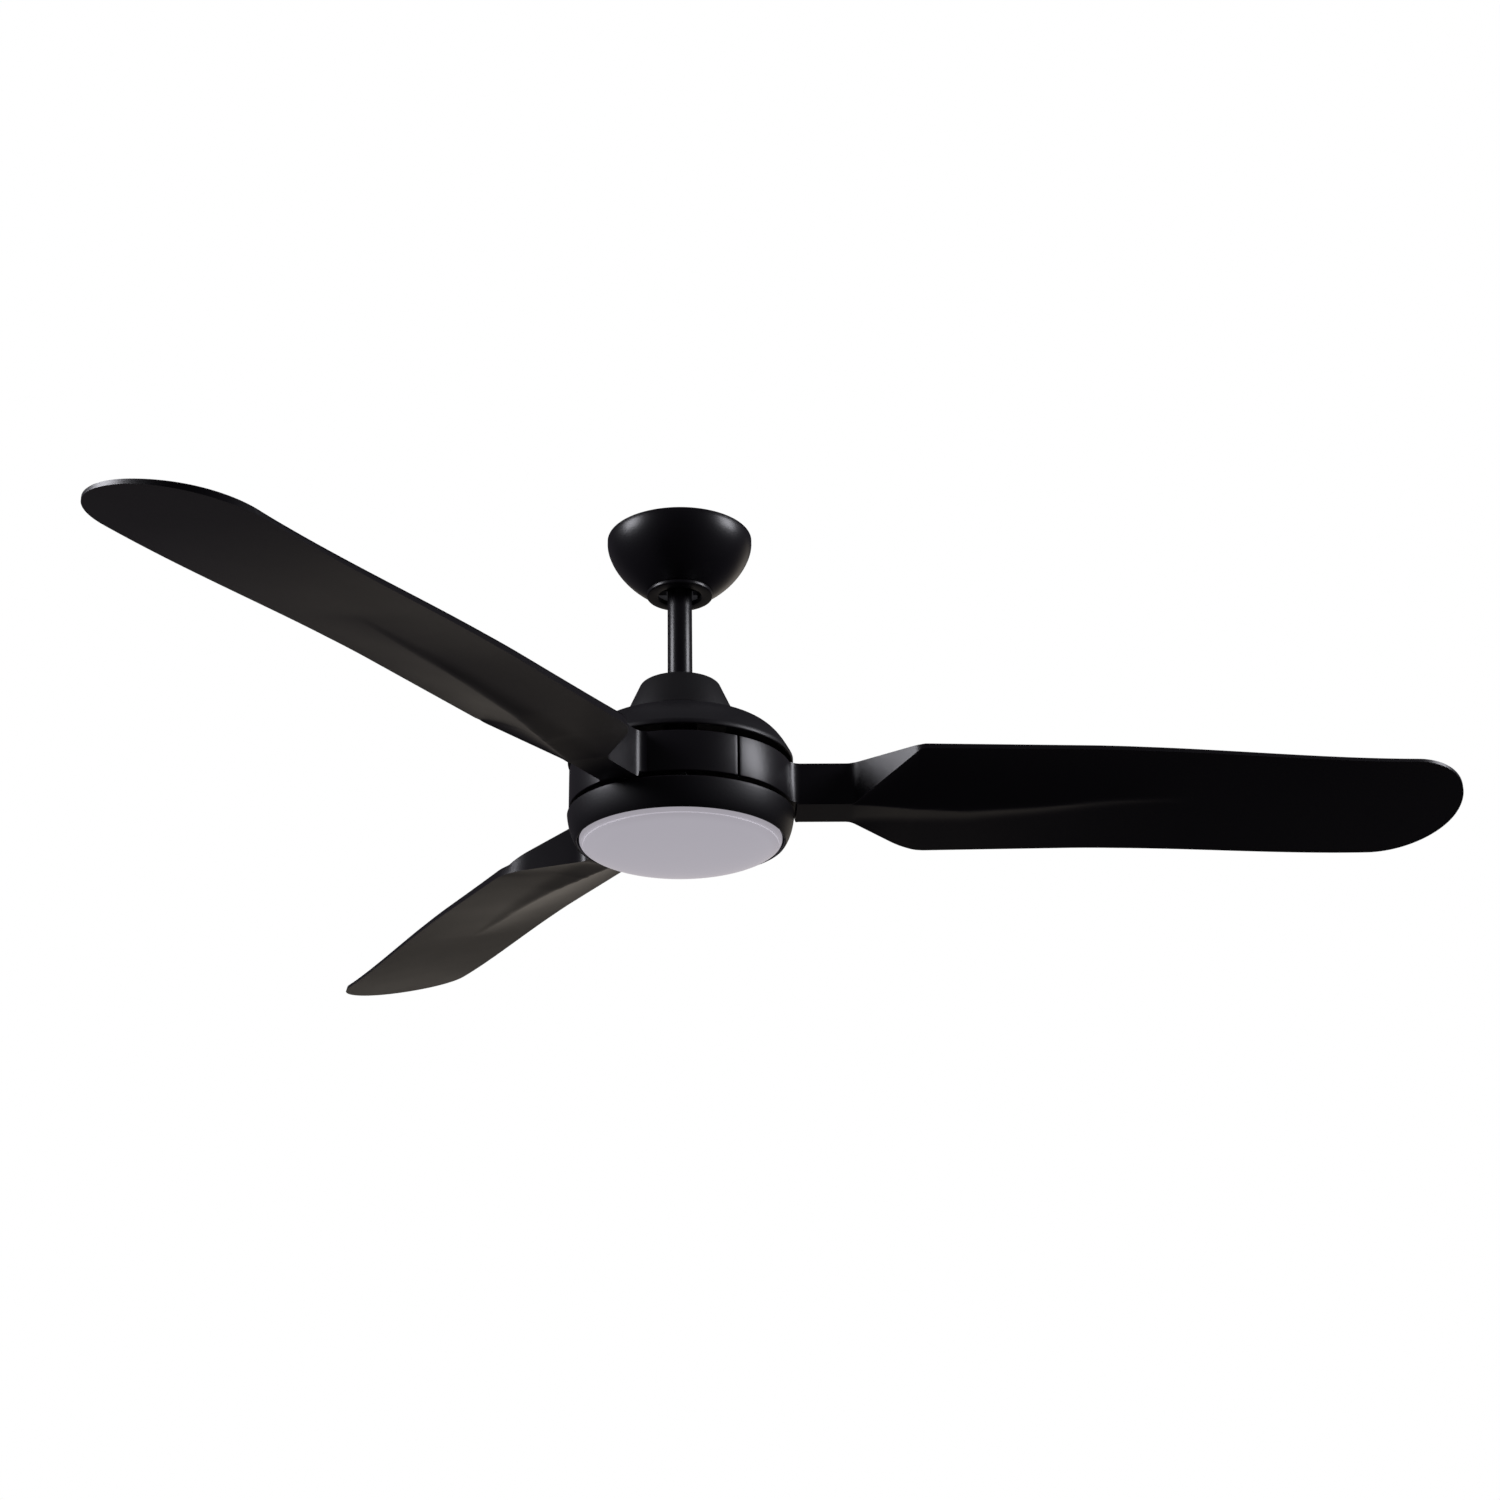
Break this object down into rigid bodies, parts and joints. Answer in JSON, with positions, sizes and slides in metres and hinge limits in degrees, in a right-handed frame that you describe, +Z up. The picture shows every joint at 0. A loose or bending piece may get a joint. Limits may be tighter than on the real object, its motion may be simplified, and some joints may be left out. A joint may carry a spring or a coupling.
{
  "type": "ceiling fan with light",
  "caption": "Flat ceiling fan with broad twisted moulded blades on a round motor hub, an opal light beneath, a short downrod and a bowl canopy.",
  "frame": {"origin": "middle of the hanger bracket's top face, in the plane of the ceiling", "axes": "+Z up through the ceiling, along the fan's axis; +X along one blade; -Y towards the viewer"},
  "size_m": [1.1916, 1.3451, 0.3506],
  "materials": {
    "black_paint": "satin black powder coat with soft broad highlights",
    "blade_plastic": "matte black moulded plastic, slightly warm, soft sheen along the ridges",
    "matte_black": "matte black moulded plastic",
    "opal": "unlit opal diffuser, smooth and faintly glossy",
    "zinc_steel": "zinc-plated steel",
    "brass": "plain brass",
    "alloy": "die-cast alloy and bearing steel",
    "lamination": "laminated electrical steel",
    "copper": "enamelled copper wire",
    "magnet": "sintered ferrite, dull grey",
    "nylon": "natural nylon",
    "white_plastic": "white moulded plastic and white solder mask"
  },
  "bodies": {
    "ceiling_mount": {"hanger_bracket": "zinc_steel", "earth_screw": "brass", "receiver_box": "matte_black", "terminal_block": "white_plastic", "canopy": "black_paint", "canopy_screw_1": "zinc_steel", "canopy_screw_2": "zinc_steel", "canopy_trim_ring": "black_paint"},
    "seat_liner": {"seat_liner": "nylon"},
    "hanging_motor": {"hanger_ball": "matte_black", "ball_cross_pin": "zinc_steel", "ball_set_screw": "zinc_steel", "downrod": "black_paint", "lead_bundle": "matte_black", "motor_yoke": "alloy", "yoke_pin": "zinc_steel", "yoke_pin_clip": "zinc_steel", "yoke_set_screw": "zinc_steel", "coupling_cover": "matte_black", "upper_cover": "black_paint", "cover_screw_1": "zinc_steel", "cover_screw_2": "zinc_steel", "cover_screw_3": "zinc_steel", "motor_shaft": "zinc_steel", "upper_bearing_inner_race": "alloy", "lower_bearing_inner_race": "alloy", "stator_core": "lamination", "upper_end_turns": "copper", "lower_end_turns": "copper", "light_mount_plate": "zinc_steel", "shaft_nut": "zinc_steel", "lower_housing": "black_paint", "housing_screw_1": "zinc_steel", "housing_screw_2": "zinc_steel", "housing_screw_3": "zinc_steel", "led_driver": "white_plastic", "light_connector": "white_plastic", "led_board": "white_plastic", "led_screw_1": "zinc_steel", "led_screw_2": "zinc_steel", "led_screw_3": "zinc_steel"},
    "rotor": {"rotor_top_shell": "alloy", "rotor_bottom_shell": "alloy", "rotor_screw_1": "zinc_steel", "rotor_screw_2": "zinc_steel", "rotor_screw_3": "zinc_steel", "upper_bearing_outer_race": "alloy", "lower_bearing_outer_race": "alloy", "magnet_ring": "magnet", "blade_1": "blade_plastic", "blade_2": "blade_plastic", "blade_3": "blade_plastic", "blade_screw_1a": "zinc_steel", "blade_screw_1b": "zinc_steel", "blade_screw_2a": "zinc_steel", "blade_screw_2b": "zinc_steel", "blade_screw_3a": "zinc_steel", "blade_screw_3b": "zinc_steel"},
    "lens": {"diffuser_lens": "opal"}
  },
  "joints": [
    {"name": "hanger_tilt", "type": "hinge", "parent": "ceiling_mount", "child": "seat_liner", "pos_m": [0, 0, -0.036], "axis": [1, 0, 0], "range_deg": [-12, 12]},
    {"name": "hanger_sway", "type": "hinge", "parent": "seat_liner", "child": "hanging_motor", "pos_m": [0, 0, -0.036], "axis": [0, 1, 0], "range_deg": [-12, 12]},
    {"name": "fan_spin", "type": "hinge", "parent": "hanging_motor", "child": "rotor", "pos_m": [0, 0, -0.2805], "axis": [0, 0, 1], "continuous": true},
    {"name": "lens_twist", "type": "hinge", "parent": "hanging_motor", "child": "lens", "pos_m": [0, 0, -0.33], "axis": [0, 0, 1], "range_deg": [0, 35]}
  ]
}
